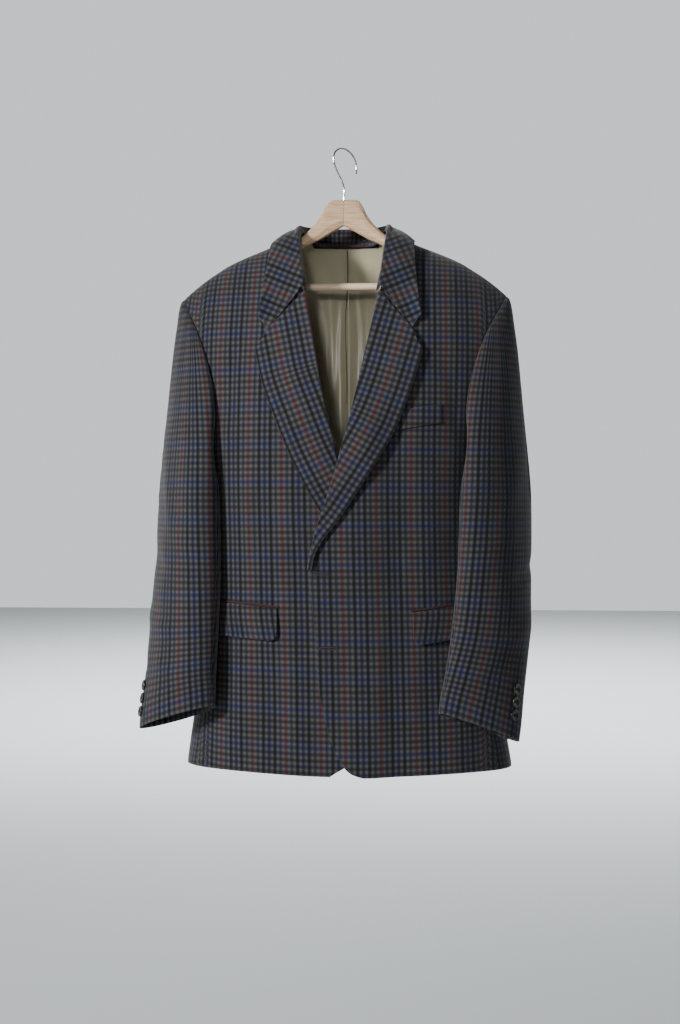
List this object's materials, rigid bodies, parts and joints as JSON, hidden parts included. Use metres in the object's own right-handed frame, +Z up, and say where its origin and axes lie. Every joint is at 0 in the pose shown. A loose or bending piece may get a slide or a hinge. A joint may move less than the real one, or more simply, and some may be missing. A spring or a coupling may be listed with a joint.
{
  "type": "sport coat on a wooden coat hanger",
  "caption": "Men's single-breasted sport coat in checked wool, hanging unbuttoned on a wooden coat hanger with a trouser bar and a wire hook.",
  "frame": {"origin": "inner top of the hanger's wire hook, where a rail carries it", "axes": "+Z up; the coat's front faces -Y; +X is the wearer's left, on the right in the picture"},
  "size_m": [0.5727, 0.2184, 0.9142],
  "materials": {
    "wool": "checked wool cloth",
    "piping": "dark red-brown binding",
    "lining": "khaki satin lining",
    "wood": "lacquered light beech",
    "wire": "bright plated steel wire",
    "button": "dark horn-coloured buttons"
  },
  "bodies": {
    "root": {"front_left": "wool", "front_right": "wool", "side_left": "wool", "side_right": "wool", "back_left": "wool", "back_right": "wool", "topsleeve_left": "wool", "topsleeve_right": "wool", "undersleeve_left": "wool", "undersleeve_right": "wool", "lapel_left": "wool", "lapel_right": "wool", "collar": "wool", "flap_left": "wool", "flap_right": "wool", "breast_welt": "wool", "jet_left": "piping", "jet_right": "piping", "lining_back_left": "lining", "lining_back_right": "lining", "locker_loop": "lining", "hanger_arm_left": "wood", "hanger_arm_right": "wood", "trouser_bar": "wood", "hook": "wire", "front_button_1": "button", "front_button_2": "button", "cuff_button_left_1": "button", "cuff_button_left_2": "button", "cuff_button_left_3": "button", "cuff_button_right_1": "button", "cuff_button_right_2": "button", "cuff_button_right_3": "button"}
  },
  "joints": []
}
